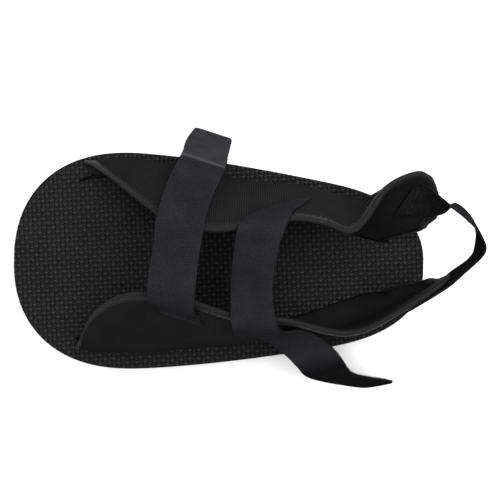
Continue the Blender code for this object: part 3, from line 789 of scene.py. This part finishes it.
def finish_sole(piece, material, node):
    piece.data.materials.clear()
    piece.data.materials.append(material)
    piece.data.shade_smooth()
    piece.data.set_sharp_from_angle(angle=math.radians(50))
    dress(piece, (node,))


def build_midsole():
    sole = bpy.context.scene.shoe_sole
    points, faces = layer_mesh(lambda x: underside(x) + OUTSOLE_THICK + FIT_GAP,
                               lambda x: MIDSOLE_TOP, mm(sole.edge_round))
    add_piece("midsole_foam", points, faces, [foam_side()], ("midsole",), smooth=50)


def build_outsole():
    sole = bpy.context.scene.shoe_sole
    points, faces = layer_mesh(underside, lambda x: underside(x) + OUTSOLE_THICK, mm(sole.edge_round))
    tread = woven_slab(mm(sole.tread_cell), mm(sole.tread_depth), 0.0, sole.cell_steps,
                       underside, SHEET_UNDERSIDE, -1)
    outsole = carved(bare_mesh("outsole_tread", points, faces), [(bare_mesh("tread", *tread), "INTERSECT")])
    finish_sole(outsole, foam_side(), "outsole")


# Flaps

def fold_points(fold, side):
    """The points that one section of a flap passes through, from its lower end to its edge."""
    sewn = fold.foot_up == 0
    foot_out = slit_out(fold.foot_x) if sewn else fold.foot_out
    foot = Vector((fold.foot_x, side * foot_out, SOLE_TOP + (STEM_RISE if sewn else fold.foot_up)))
    edge = Vector((fold.edge_x, side * fold.edge_out, SOLE_TOP + fold.edge_up))
    belly_x = fold.foot_x + 0.25 * (fold.edge_x - fold.foot_x)
    belly = Vector((belly_x, side * fold.belly_out, SOLE_TOP + fold.belly_up))
    rise = edge - belly
    outward = Vector((0, side * rise.z, -side * rise.y)).normalized()
    middle = belly + 0.5 * rise + fold.bow * outward
    web_level = SHEET_UNDERSIDE - FIT_GAP - WEB_THICK / 2
    lower_end = Vector((foot.x, foot.y, web_level if sewn else foot.z - LOWER_LIP))
    return [lower_end, foot, belly, middle, edge]


def spaced(line, number):
    """Points at even distances along a line of points."""
    lengths = [(end - start).length for start, end in zip(line, line[1:])]
    pitch = sum(lengths) / number
    row, walked, k = [line[0].copy()], 0.0, 0
    for i in range(1, number):
        target = i * pitch
        while walked + lengths[k] < target:
            walked += lengths[k]
            k += 1
        row.append(line[k].lerp(line[k + 1], (target - walked) / lengths[k]))
    return row + [line[-1].copy()]


# A crease is a soft trough (depth > 0) or ridge between two places (x, out, up) on a flap.
Crease = namedtuple("Crease", "flap x1 out1 up1 x2 out2 up2 wide depth")
CREASES = [
    Crease("far", -76, 56, 20, -40, 58.8, 28, 2, -0.9),
    Crease("far", -72, 60.5, 17, -36, 60, 24, 2.4, 0.8),
    Crease("near", 40, 40, 42, 72, 44, 30, 4, 1),
    Crease("near", 8, 40, 45, 24, 44, 30, 6, -0.9),
]


def creased(point, name):
    """How far a crease moves a point of a flap inwards."""
    side = 1 if name == "far" else -1
    move = 0.0
    for crease in CREASES:
        if crease.flap != name:
            continue
        start = Vector((crease.x1, side * crease.out1, SOLE_TOP + crease.up1))
        run = Vector((crease.x2, side * crease.out2, SOLE_TOP + crease.up2)) - start
        t = min(1.0, max(0.0, (point - start).dot(run) / run.length_squared))
        away = (point - start - t * run).length / crease.wide
        fade = math.sin(math.pi * min(1.0, max(0.0, 0.1 + 0.8 * t)))
        move += crease.depth * fade * math.exp(-away * away)
    return move


@lru_cache(maxsize=None)
def flap_grid(name):
    """The middle surface of a flap: for each section, points from its edge to its lower end."""
    flaps = bpy.context.scene.shoe_flaps
    folds, side = (FAR_FLAP, 1) if name == "far" else (NEAR_FLAP, -1)
    tracks = list(zip(*[fold_points(fold, side) for fold in folds]))
    steps = [flaps.row_steps] * (len(folds) - 1)
    sections = list(zip(*[smooth_row(track, steps) for track in tracks]))
    web_level = SHEET_UNDERSIDE - FIT_GAP - WEB_THICK / 2
    grid = []
    for lower_end, foot, belly, middle, edge in sections:
        lower_end.z = max(lower_end.z, web_level)
        chain = [foot - Vector((0, 0, 8)), foot, belly, middle, edge, 2 * edge - middle]
        skin = []
        for i in range(3):
            skin += [smooth_between(*chain[i:i + 4], k / FOLD_POINTS) for k in range(FOLD_POINTS)]
        row = spaced((skin + [edge])[::-1], flaps.columns)
        grid.append(row + [foot.lerp(lower_end, 0.33), foot.lerp(lower_end, 0.67), lower_end])
    normals = grid_normals(grid)
    for row, line in zip(grid, normals):
        for k, normal in enumerate(line[:flaps.columns]):
            inset = min(1.0, k / LEVEL_COLUMNS, (flaps.columns - k) / LEVEL_COLUMNS)
            soft = noise.noise(row[k] * LUMPS_PER_MM) * LUMP_LIFT * inset
            row[k] = row[k] + side * (soft - creased(row[k], name)) * normal
    return grid


def grid_normals(grid):
    """Unit normals of a grid of points, from its neighbours on both sides."""
    rows, columns = len(grid), len(grid[0])
    normals = []
    for i in range(rows):
        ahead, behind = grid[min(i + 1, rows - 1)], grid[max(i - 1, 0)]
        line = []
        for k in range(columns):
            across = grid[i][min(k + 1, columns - 1)] - grid[i][max(k - 1, 0)]
            line.append((ahead[k] - behind[k]).cross(across).normalized())
        normals.append(line)
    return normals


def sheet_shell(grid, halves, outer=1):
    """Points, faces and the side of each face of a closed sheet: 0 outer, 1 inner and rim."""
    normals = grid_normals(grid)
    rows, columns = len(grid), len(grid[0])
    points = []
    for sign in (1, -1):
        points += [p + sign * half * normal for row, line in zip(grid, normals)
                   for p, half, normal in zip(row, halves, line)]
    back = rows * columns
    faces, sides = [], []
    for i in range(rows - 1):
        for k in range(columns - 1):
            a = i * columns + k
            quad = (a, a + 1, a + columns + 1, a + columns)
            faces += [quad, tuple(back + v for v in reversed(quad))]
            sides += [0, 1] if outer > 0 else [1, 0]
    rim = grid_rim(rows, columns)
    for start, end in zip(rim, rim[1:] + rim[:1]):
        faces.append((start, end, back + end, back + start))
        sides.append(1)
    return points, faces, sides


def cloth_places(grid):
    """Distances in millimetres across and along a grid, as fractions of the cloth's span."""
    places = []
    middle = len(grid[0]) // 2
    run = 0.0
    for i, row in enumerate(grid):
        if i:
            run += (row[middle] - grid[i - 1][middle]).length
        reach = 0.0
        for k, point in enumerate(row):
            if k:
                reach += (point - row[k - 1]).length
            places.append((reach / CLOTH_SPAN, run / CLOTH_SPAN))
    return places * 2


def flap_halves(tape=0.0):
    """Half the thickness of a flap in each column, thinner in the tape at the edge."""
    flaps = bpy.context.scene.shoe_flaps
    wall = mm(flaps.wall) / 2
    return [0.7 * wall + tape, 0.9 * wall + tape] + [wall + tape] * 3 + [wall] * (flaps.columns - 1)


def build_flap(name):
    grid = flap_grid(name)
    points, faces, sides = sheet_shell(grid, flap_halves())
    flap = add_piece(name + "_flap", points, faces, [flap_knit()], ("upper",),
                     uv=cloth_places(grid))


def flap_border(name):
    """The free border of a flap: places, normals and inward directions, from its toe end round its heel."""
    grid = flap_grid(name)
    normals = grid_normals(grid)
    rows, columns = len(grid), len(grid[0])
    folds = FAR_FLAP if name == "far" else NEAR_FLAP
    steps = (rows - 1) // (len(folds) - 1)
    free = next(i for i, fold in enumerate(folds) if fold.foot_up) * steps
    border = [(i, 0, i, 1) for i in range(rows)]
    border += [(rows - 1, k, rows - 2, k) for k in range(1, columns)]
    border += [(i, columns - 1, i, columns - 2) for i in range(rows - 2, free - 1, -1)]
    places = [grid[i][k] for i, k, _, _ in border]
    ups = [normals[i][k] for i, k, _, _ in border]
    ins = [(grid[a][b] - grid[i][k]).normalized() for i, k, a, b in border]
    return places, ups, ins


def softened(vectors, rounds, unit):
    for _ in range(rounds):
        inner = [(a + 2 * b + c) / 4 for a, b, c in zip(vectors, vectors[1:], vectors[2:])]
        vectors = [vectors[0]] + inner + [vectors[-1]]
    return [v.normalized() for v in vectors] if unit else vectors


def build_tape(name):
    """Edge tape folded over the free border of a flap, and its stitches on both faces."""
    flaps = bpy.context.scene.shoe_flaps
    places, ups, ins = flap_border(name)
    places, ups, ins = softened(places, 2, False), softened(ups, 4, True), softened(ins, 6, True)
    outer = 1 if name == "far" else -1
    wall, thick = mm(flaps.wall) / 2, mm(flaps.tape_thick)
    wide = {1: mm(flaps.tape_outside), -1: mm(flaps.tape_inside)}
    profile = []
    for face in (1, -1):
        reach = wide[face]
        top = wall + thick
        half = [(reach, wall - 0.3), (reach + 0.1, wall + 0.5 * thick), (reach - 0.35, top),
                (reach - 1.0, top - 0.22), (reach - 1.7, top), (1.4, top + 0.1),
                (0.1, 0.82 * top), (-0.75, 0.45 * top)]
        half = [(a, face * b) for a, b in half]
        profile += half if face > 0 else half[::-1]
    inside = [(5.8, -wall + 0.5), (0.6, -0.5 * wall), (0.6, 0.5 * wall), (wide[1] - 0.4, wall - 0.5)]
    profile = profile[:8] + [(-1.0, 0.0)] + profile[8:] + inside
    points, uv = [], []
    run = 0.0
    for i, (place, up, inward) in enumerate(zip(places, ups, ins)):
        if i:
            run += (place - places[i - 1]).length
        for k, (reach, rise) in enumerate(profile):
            points.append(place + reach * inward + outer * rise * up)
            uv.append((k / CLOTH_SPAN, run / CLOTH_SPAN))
    faces = ring_faces(0, len(places), len(profile))
    add_piece(name + "_edge_tape", points, faces, [edge_tape()], uv=uv)
    for face, label in ((1, "outside"), (-1, "inside")):
        reach, rise = wide[face] - SEAM_FROM_EDGE, wall + thick - SEAM_SUNK
        line = [place + reach * inward + outer * face * rise * up
                for place, up, inward in zip(places, ups, ins)]
        sew(f"{name}_tape_stitches_{label}", line, [outer * face * up for up in ups])


# Stitches

def sew(name, line, ups):
    """A row of separate stitches along a line that lies on a surface."""
    flaps = bpy.context.scene.shoe_flaps
    long, gap, radius = mm(flaps.stitch), mm(flaps.stitch_gap), mm(flaps.thread) / 2
    lengths = [(end - start).length for start, end in zip(line, line[1:])]
    total = sum(lengths)
    points, faces = [], []
    start = gap
    while start + long < total:
        ends = []
        for distance in (start, start + long / 2, start + long):
            k, walked = 0, 0.0
            while walked + lengths[k] < distance and k < len(lengths) - 1:
                walked += lengths[k]
                k += 1
            t = (distance - walked) / max(lengths[k], 1e-6)
            ends.append((line[k].lerp(line[k + 1], t), ups[k].lerp(ups[k + 1], t).normalized()))
        add_stitch(points, faces, ends, radius)
        start += long + gap
    add_piece(name, points, faces, [thread()], smooth=80)


def add_stitch(points, faces, ends, radius):
    """One stitch: a short arched thread whose ends dip into the cloth."""
    (a, up), (m, _), (b, _) = ends
    ahead = (b - a).normalized()
    across = ahead.cross(up).normalized()
    first = len(points)
    stations = ((0.0, -0.9, 0.5), (0.12, 0.1, 0.9), (0.5, 0.5, 1.0), (0.88, 0.1, 0.9), (1.0, -0.9, 0.5))
    for t, rise, girth in stations:
        bend = (1 - t) ** 2 * a + 2 * t * (1 - t) * (2 * m - (a + b) / 2) + t ** 2 * b
        centre = bend + rise * radius * up
        for k in range(THREAD_SIDES):
            angle = 2 * math.pi * k / THREAD_SIDES
            points.append(centre + girth * radius * (math.cos(angle) * across + math.sin(angle) * up))
    faces += ring_faces(first, len(stations), THREAD_SIDES)


# Straps

@lru_cache(maxsize=None)
def flap_tree(name, sign):
    """A search tree of a flap: its outer or inner face, or its whole shell where sign is 0."""
    tape = mm(bpy.context.scene.shoe_flaps.tape_thick)
    grid, halves = flap_grid(name), flap_halves(tape)
    if sign:
        columns = len(grid[0])
        points = [p + sign * h * n for row, line in zip(grid, grid_normals(grid))
                  for p, h, n in zip(row, halves, line)]
        starts = [i * columns + k for i in range(len(grid) - 1) for k in range(columns - 1)]
        faces = [(a, a + 1, a + columns + 1, a + columns)[::-sign] for a in starts]
    else:
        points, faces, _ = sheet_shell(grid, halves)
    shell = shell_of(points, faces, 1, outward=not sign)
    shell.normal_update()
    tree = BVHTree.FromBMesh(shell)
    shell.free()
    return tree


def pushed_clear(point, clear):
    """The point, moved out of each flap until it is clear of its surface."""
    for name in ("far", "near"):
        place, normal, _, distance = flap_tree(name, 0).find_nearest(point)
        inside = distance < REACH_INSIDE and (point - place).dot(normal) < 0
        if inside or distance < clear:
            away = normal if inside or distance < 0.01 else (point - place).normalized()
            point = place + clear * away
    return point


def relaxed(grid):
    """The grid with each row drawn halfway to its neighbours' middle, the end rows kept."""
    inner = [[(a + 2 * b + c) / 4 for a, b, c in zip(*rows)] for rows in zip(grid, grid[1:], grid[2:])]
    return [grid[0]] + inner + [grid[-1]]


def strap_grid(name, bands, seat):
    """The middle surface of a strap, on its seat where it is sewn, and clear of both flaps."""
    straps = bpy.context.scene.shoe_straps
    near = [Vector((b.ax, b.ay, SOLE_TOP + b.aup)) for b in bands]
    far = [Vector((b.bx, b.by, SOLE_TOP + b.bup)) for b in bands]
    steps = [max(1, round(max((a2 - a1).length, (b2 - b1).length) / mm(straps.step)))
             for a1, a2, b1, b2 in zip(near, near[1:], far, far[1:])]
    lies = smooth_row([float(b.lie) for b in bands], steps)
    clear = mm(straps.thick) / 2 + mm(straps.clearance)
    grid = []
    for a, b, lie in zip(smooth_row(near, steps), smooth_row(far, steps), lies):
        row = [a.lerp(b, k / straps.columns) for k in range(straps.columns + 1)]
        weight = min(1.0, max(0.0, lie))
        if weight > 0:
            seats = [seat(p).find_nearest(p) for p in row]
            row = [p.lerp(place + clear * normal, weight) for p, (place, normal, _, _) in zip(row, seats)]
        grid.append(row)
    for _ in range(3):
        grid = [[pushed_clear(p, clear) for p in row] for row in relaxed(grid)]
    tight = mm(straps.thick) / 2 + RIPPLED_CLEARANCE
    return [[pushed_clear(p, tight) for p in row] for row in rippled(grid, name)]


# A ripple is a soft ridge (lift > 0) or trough across a strap, at a distance along it from its sewn end,
# with how far it slants from one edge to the other, its half length and the edge where it is strongest.
Ripple = namedtuple("Ripple", "strap along slant reach lift edge")
RIPPLES = [
    Ripple("forefoot", 11, 3, 1.6, 0.7, 0.5), Ripple("forefoot", 7.5, 3, 2.5, -0.5, 0.5),
    Ripple("forefoot", 47, 4, 6, 1.2, 0.9), Ripple("forefoot", 58, -3, 5, -1, 0.2),
    Ripple("forefoot", 74, 5, 7, 0.9, 0.1), Ripple("forefoot", 92, 6, 7, -0.8, 0.6),
    Ripple("instep", 60, 4, 9, 0.7, 0.8), Ripple("instep", 84, -4, 8, -0.7, 0.2),
    Ripple("instep", 152, 6, 6, 0.8, 0.3), Ripple("heel", 52, 2, 6, 0.7, 0.5),
]


def rippled(grid, name):
    """The strap's middle surface with its ripples."""
    normals = grid_normals(grid)
    run, wavy = 0.0, []
    for i, row in enumerate(grid):
        if i:
            run += (row[len(row) // 2] - grid[i - 1][len(row) // 2]).length
        line = []
        for k, point in enumerate(row):
            across = k / (len(row) - 1)
            lift = 0.0
            for ripple in RIPPLES:
                if ripple.strap == name:
                    away = (run - ripple.along - ripple.slant * (across - 0.5)) / ripple.reach
                    side = 1 - 0.6 * abs(across - ripple.edge)
                    lift += ripple.lift * side * math.exp(-away * away)
            line.append(point + STRAPS[name].outer * lift * normals[i][k])
        wavy.append(line)
    return wavy


Strap = namedtuple("Strap", "node bands seat outer")
STRAPS = {
    "forefoot": Strap("forefoot_strap", FOREFOOT_STRAP, lambda p: flap_tree("near", -1), -1),
    "instep": Strap("instep_strap", INSTEP_STRAP, lambda p: flap_tree("far", 1), 1),
    "heel": Strap("heel_strap", HEEL_STRAP,
                  lambda p: flap_tree("far", -1) if p.y > 10 else flap_tree("near", -1), 1),
}


@lru_cache(maxsize=None)
def laid_strap(name):
    strap = STRAPS[name]
    return strap_grid(name, strap.bands, strap.seat)


def build_strap(name):
    straps = bpy.context.scene.shoe_straps
    strap = STRAPS[name]
    grid = laid_strap(name)
    half = mm(straps.thick) / 2
    halves = [0.6 * half, 0.9 * half] + [half] * (straps.columns - 3) + [0.9 * half, 0.6 * half]
    points, faces, sides = sheet_shell(grid, halves, strap.outer)
    add_piece(name + "_webbing", points, faces, [webbing(name), pile()], (strap.node,),
              material_of=sides, uv=cloth_places(grid))


def on_strap(name, along, across):
    """The place and outward normal at fractions along and across a strap's outer face."""
    straps = bpy.context.scene.shoe_straps
    grid = laid_strap(name)
    i = min(len(grid) - 2, int(along * (len(grid) - 1)))
    k = min(len(grid[0]) - 2, int(across * (len(grid[0]) - 1)))
    s, t = along * (len(grid) - 1) - i, across * (len(grid[0]) - 1) - k
    low = grid[i][k].lerp(grid[i][k + 1], t)
    high = grid[i + 1][k].lerp(grid[i + 1][k + 1], t)
    normal = (high - low).cross(grid[i][k + 1] - grid[i][k]).normalized() * STRAPS[name].outer
    return low.lerp(high, s) + mm(straps.thick) / 2 * normal, normal


# Rows of stitches on the straps: from one place to another, as fractions along and across
Seam = namedtuple("Seam", "strap along1 across1 along2 across2")
SEAMS = [
    Seam("forefoot", 0.010, 0.08, 0.010, 0.92), Seam("forefoot", 0.010, 0.08, 0.040, 0.92),
    Seam("forefoot", 0.042, 0.08, 0.042, 0.92), Seam("forefoot", 0.040, 0.08, 0.010, 0.92),
    Seam("instep", 0.010, 0.06, 0.010, 0.94), Seam("instep", 0.042, 0.06, 0.042, 0.94),
]


def build_seams():
    for number, seam in enumerate(SEAMS):
        places = [on_strap(seam.strap, seam.along1 + (seam.along2 - seam.along1) * k / SEAM_PLACES,
                           seam.across1 + (seam.across2 - seam.across1) * k / SEAM_PLACES)
                  for k in range(SEAM_PLACES + 1)]
        sew(f"{seam.strap}_seam_{number}", [p for p, _ in places], [n for _, n in places])


def build_pile(name):
    """Loose hairs of the pile along a strap's inner face and edges."""
    straps = bpy.context.scene.shoe_straps
    grid = laid_strap(name)
    normals = grid_normals(grid)
    chance = random.Random(len(grid))
    half, outer = mm(straps.thick) / 2, STRAPS[name].outer
    points, faces = [], []
    columns = len(grid[0])
    for _ in range(straps.hairs):
        i = chance.randrange(len(grid) - 1)
        edge = chance.random() < 0.5
        k = chance.choice((0, columns - 1)) if edge else chance.randrange(columns)
        across = (grid[i][min(k + 1, columns - 1)] - grid[i][max(k - 1, 0)]).normalized()
        along = (grid[i + 1][k] - grid[i][k]).normalized()
        away = across * (-1 if k == 0 else 1 if k == columns - 1 else 0)
        base = grid[i][k] + chance.random() * (grid[i + 1][k] - grid[i][k])
        base = base - outer * chance.uniform(0.2, 0.8) * half * normals[i][k]
        lean = Vector([chance.uniform(-0.5, 0.5) for _ in range(3)])
        ahead = (away - outer * chance.uniform(0.3, 1.0) * normals[i][k] + lean).normalized()
        tip = base + chance.uniform(0.4, 1.0) * mm(straps.pile) * ahead
        first = len(points)
        for angle in (0, 120, 240):
            turn = Matrix.Rotation(math.radians(angle), 3, ahead)
            points.append(base + HAIR_GIRTH * (turn @ ahead.cross(along).normalized()))
        points.append(tip)
        faces += [(first, first + 1, first + 3), (first + 1, first + 2, first + 3),
                  (first + 2, first, first + 3), (first, first + 2, first + 1)]
    add_piece(name + "_pile", points, faces, [pile()], smooth=80)


# Stage

def area_light(name, place, width, power):
    data = bpy.data.lights.new(name, "AREA")
    data.shape = "SQUARE"
    data.size = width
    data.energy = power
    light = bpy.data.objects.new(name, data)
    light.location = place
    light.rotation_euler = (-Vector(place)).to_track_quat("-Z", "Y").to_euler()
    bpy.context.scene.collection.objects.link(light)


def build_stage():
    scene = bpy.context.scene
    stage = scene.shoe_stage
    reach = 4.0
    mesh = bpy.data.meshes.new("floor")
    corners = [(-reach, -reach), (reach, -reach), (reach, reach), (-reach, reach)]
    mesh.from_pydata([(x, y, -0.0004) for x, y in corners], [], [(0, 1, 2, 3)])
    mesh.materials.append(paper_floor())
    floor = bpy.data.objects.new("floor", mesh)
    scene.collection.objects.link(floor)
    world = bpy.data.worlds.new("studio")
    world.use_nodes = True
    world.node_tree.nodes["Background"].inputs["Color"].default_value = (1.0, 1.0, 1.0, 1.0)
    world.node_tree.nodes["Background"].inputs["Strength"].default_value = stage.sky
    scene.world = world
    area_light("overhead", (0.15, 0.12, 1.5), 1.2, stage.overhead)
    area_light("far_side", (0.75, 0.95, 1.0), 0.7, stage.side)
    scene.view_settings.view_transform = "Standard"
    data = bpy.data.cameras.new("camera")
    data.lens = stage.lens
    data.sensor_width = 36.0
    camera = bpy.data.objects.new("camera", data)
    right = Vector((math.cos(CAMERA_TURN), math.sin(CAMERA_TURN), 0))
    up = Vector((-math.sin(CAMERA_TURN), math.cos(CAMERA_TURN), 0))
    basis = Matrix((right, up, Vector((0, 0, 1)))).transposed().to_4x4()
    camera.matrix_world = Matrix.Translation((*CAMERA_OVER, stage.camera_height)) @ basis
    scene.collection.objects.link(camera)
    scene.camera = camera


# Operators

class SHOE_OT_stage(bpy.types.Operator):
    """Set up the floor, the lights and the camera"""
    bl_idname = "shoe.stage"
    bl_label = "Stage"

    def execute(self, context):
        build_stage()
        return {"FINISHED"}


class SHOE_OT_sole(bpy.types.Operator):
    """Build the woven footbed, the midsole and the outsole"""
    bl_idname = "shoe.sole"
    bl_label = "Sole"

    def execute(self, context):
        build_footbed()
        build_midsole()
        build_outsole()
        return {"FINISHED"}


class SHOE_OT_flaps(bpy.types.Operator):
    """Build both padded flaps"""
    bl_idname = "shoe.flaps"
    bl_label = "Flaps"

    def execute(self, context):
        build_flap("far")
        build_flap("near")
        return {"FINISHED"}


class SHOE_OT_edge_tape(bpy.types.Operator):
    """Fold the edge tape over the flaps' borders and stitch it"""
    bl_idname = "shoe.edge_tape"
    bl_label = "Edge tape"

    def execute(self, context):
        build_tape("far")
        build_tape("near")
        return {"FINISHED"}


class SHOE_OT_straps(bpy.types.Operator):
    """Lay the three straps, with their seams and pile"""
    bl_idname = "shoe.straps"
    bl_label = "Straps"

    def execute(self, context):
        for name in STRAPS:
            build_strap(name)
            build_pile(name)
        build_seams()
        return {"FINISHED"}


OPERATORS = (SHOE_OT_stage, SHOE_OT_sole, SHOE_OT_flaps, SHOE_OT_edge_tape, SHOE_OT_straps)


class SHOE_PT_panel(bpy.types.Panel):
    """Settings and operators of the shoe"""
    bl_label = "Post operative shoe"
    bl_idname = "SHOE_PT_panel"
    bl_space_type = "VIEW_3D"
    bl_region_type = "UI"
    bl_category = "Shoe"

    def draw(self, context):
        for operator in OPERATORS:
            self.layout.operator(operator.bl_idname)
        for name, group in GROUPS:
            column = self.layout.column(align=True)
            for field in group.__annotations__:
                column.prop(getattr(context.scene, name), field)


def register():
    for name, group in GROUPS:
        bpy.utils.register_class(group)
        setattr(bpy.types.Scene, name, PointerProperty(type=group))
    for item in (*OPERATORS, SHOE_PT_panel):
        bpy.utils.register_class(item)


def unregister():
    for item in reversed((*OPERATORS, SHOE_PT_panel)):
        bpy.utils.unregister_class(item)
    for name, group in reversed(GROUPS):
        delattr(bpy.types.Scene, name)
        bpy.utils.unregister_class(group)


def main():
    register()
    for operator in (bpy.ops.shoe.stage, bpy.ops.shoe.sole, bpy.ops.shoe.flaps,
                     bpy.ops.shoe.edge_tape, bpy.ops.shoe.straps):
        operator()


if __name__ == "__main__":
    main()
